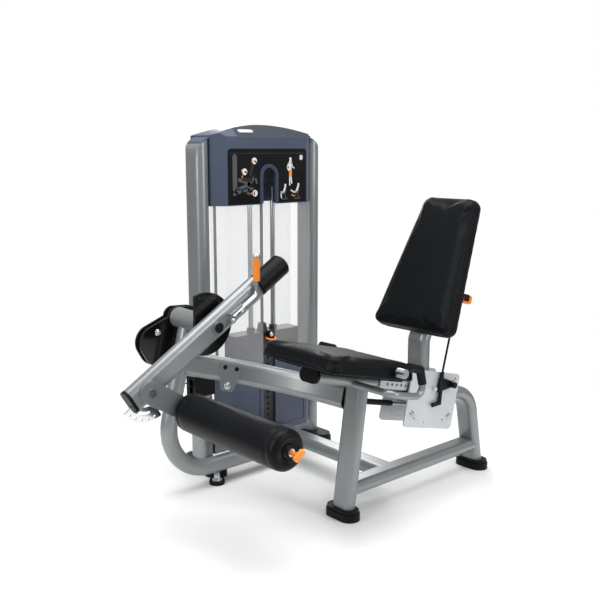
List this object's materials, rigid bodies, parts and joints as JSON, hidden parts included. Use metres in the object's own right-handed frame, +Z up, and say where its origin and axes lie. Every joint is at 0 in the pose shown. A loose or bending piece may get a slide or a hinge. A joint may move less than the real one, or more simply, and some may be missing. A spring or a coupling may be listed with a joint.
{
  "type": "leg extension machine",
  "caption": "Seated leg extension machine: padded seat and sliding backrest, pivoting arm with a shin roller, and a belt-driven weight stack in a shrouded tower.",
  "frame": {"origin": "on the floor, under the centre of the front leg's foot", "axes": "+X from the user's shins toward the backrest, +Y from the seat toward the weight tower, +Z up"},
  "size_m": [1.454, 1.0708, 1.4],
  "materials": {
    "frame_paint": "silver-grey powder coat, satin",
    "cap_plastic": "slate blue moulded plastic",
    "black_plastic": "black moulded plastic",
    "gloss_black": "glossy black",
    "rubber": "black rubber",
    "upholstery": "black vinyl upholstery, fine grain",
    "roller_foam": "black moulded foam with a fine skin",
    "chrome": "bright plated",
    "bright_steel": "machined steel",
    "silver_plate": "light silver coat",
    "orange": "orange moulded plastic",
    "cast_plate": "painted cast iron",
    "clear": "clear acrylic",
    "placard": "gloss black panel",
    "belt": "black reinforced belt",
    "slate_paint": "slate blue coat"
  },
  "bodies": {
    "frame": {"front_leg": "frame_paint", "rubber_feet": "rubber", "base_rail": "frame_paint", "cross_tube": "frame_paint", "rear_leg": "frame_paint", "main_beam": "frame_paint", "seat_rail": "frame_paint", "rail_cap": "black_plastic", "index_bars": "chrome", "seat_pan": "black_plastic", "seat_pad": "upholstery", "seat_buttons": "chrome", "grip_tubes": "frame_paint", "hand_grips": "rubber", "stop_bracket": "silver_plate", "j_tube": "frame_paint", "bearing_housing": "frame_paint", "pivot_bearings": "bright_steel", "tower_frame": "frame_paint", "column_caps": "frame_paint", "tower_cap": "cap_plastic", "placard": "placard", "shrouds": "clear", "lower_panel": "slate_paint", "guide_rods": "chrome", "weight_plates": "cast_plate", "pulley_bracket": "frame_paint", "pulley_guard": "black_plastic", "belt": "belt", "strut_cylinder": "black_plastic"},
    "cam_body": {"pivot_shaft": "bright_steel", "cam": "gloss_black", "range_plate": "gloss_black"},
    "arm": {"arm_tube": "frame_paint", "arm_end_cap": "black_plastic", "counterweight": "black_plastic", "lever_bracket": "chrome", "adjuster_sector": "chrome", "link_pin": "bright_steel"},
    "range_lever": {"range_lever": "chrome", "lever_grip": "orange"},
    "range_pin": {"range_pin": "chrome"},
    "link": {"shin_link": "frame_paint", "roller_axle": "bright_steel"},
    "roller": {"roller_pad": "roller_foam", "roller_core": "black_plastic"},
    "knob": {"shin_knob": "orange"},
    "weight": {"top_weight": "cast_plate"},
    "selector_pin": {"selector_pin": "orange"},
    "left_pulley": {"left_pulley": "black_plastic"},
    "right_pulley": {"right_pulley": "black_plastic"},
    "lower_pulley": {"lower_pulley": "black_plastic"},
    "backrest": {"carriage_plates": "silver_plate", "carriage_glides": "black_plastic", "strut_rod": "chrome", "backrest_post": "frame_paint", "back_pad": "upholstery"},
    "release_lever": {"release_lever": "black_plastic", "release_paddle": "orange"},
    "lock_pin": {"lock_pin": "chrome"}
  },
  "joints": [
    {"name": "cam_turn", "type": "hinge", "parent": "frame", "child": "cam_body", "pos_m": [-0.285, 0.53, 0.68], "axis": [0, 1, 0], "range_deg": [0, 60]},
    {"name": "start_angle", "type": "hinge", "parent": "cam_body", "child": "arm", "pos_m": [-0.285, 0.38, 0.68], "axis": [0, 1, 0], "range_deg": [-30, 0]},
    {"name": "range_lever_pull", "type": "hinge", "parent": "arm", "child": "range_lever", "pos_m": [-0.2219, 0.338, 0.71866], "axis": [0.5225, 0, -0.8526], "range_deg": [0, 12], "stiffness_Nm_per_rad": 20, "springref_deg": -5.73},
    {"name": "range_pin_draw", "type": "slide", "parent": "arm", "child": "range_pin", "axis": [0, -1, 0], "range_m": [0, 0.006]},
    {"name": "link_swing", "type": "hinge", "parent": "arm", "child": "link", "pos_m": [-0.56711, 0.35, 0.49539], "axis": [0, 1, 0], "range_deg": [-20, 25]},
    {"name": "roller_spin", "type": "hinge", "parent": "link", "child": "roller", "pos_m": [-0.43, 0.06, 0.406], "axis": [0, 1, 0], "continuous": true},
    {"name": "knob_pull", "type": "slide", "parent": "link", "child": "knob", "axis": [0, -1, 0], "range_m": [0, 0.02], "stiffness_N_per_m": 300, "springref_m": -0.01},
    {"name": "weight_lift", "type": "slide", "parent": "frame", "child": "weight", "axis": [0, 0, 1], "range_m": [0, 0.17]},
    {"name": "selector_pull", "type": "slide", "parent": "weight", "child": "selector_pin", "axis": [0, -1, 0], "range_m": [0, 0.06]},
    {"name": "left_pulley_turn", "type": "hinge", "parent": "frame", "child": "left_pulley", "pos_m": [-0.0082, 0.681, 1.2], "axis": [0, 1, 0], "range_deg": [0, 215]},
    {"name": "right_pulley_turn", "type": "hinge", "parent": "frame", "child": "right_pulley", "pos_m": [0.1402, 0.681, 1.2], "axis": [0, 1, 0], "range_deg": [-215, 0]},
    {"name": "lower_pulley_turn", "type": "hinge", "parent": "frame", "child": "lower_pulley", "pos_m": [-0.16962, 0.63, 0.39128], "axis": [0, 1, 0], "range_deg": [-330, 0]},
    {"name": "backrest_slide", "type": "slide", "parent": "frame", "child": "backrest", "axis": [0.9703, 0, -0.2419], "range_m": [-0.1, 0.025]},
    {"name": "release_pull", "type": "hinge", "parent": "backrest", "child": "release_lever", "pos_m": [0.50397, -0.07, 0.41272], "axis": [0, 1, 0], "range_deg": [0, 12], "stiffness_Nm_per_rad": 15, "springref_deg": -5.73},
    {"name": "lock_pin_draw", "type": "slide", "parent": "backrest", "child": "lock_pin", "axis": [0, -1, 0], "range_m": [0, 0.006]}
  ],
  "couplings": [
    {"joint": "weight_lift", "follows": "cam_turn", "m_per_rad": 0.15},
    {"joint": "left_pulley_turn", "follows": "cam_turn", "ratio": 3.4247},
    {"joint": "right_pulley_turn", "follows": "cam_turn", "ratio": -3.4247},
    {"joint": "lower_pulley_turn", "follows": "cam_turn", "ratio": -5.3957},
    {"joint": "range_pin_draw", "follows": "range_lever_pull", "m_per_rad": 0.026},
    {"joint": "lock_pin_draw", "follows": "release_pull", "m_per_rad": 0.026}
  ]
}
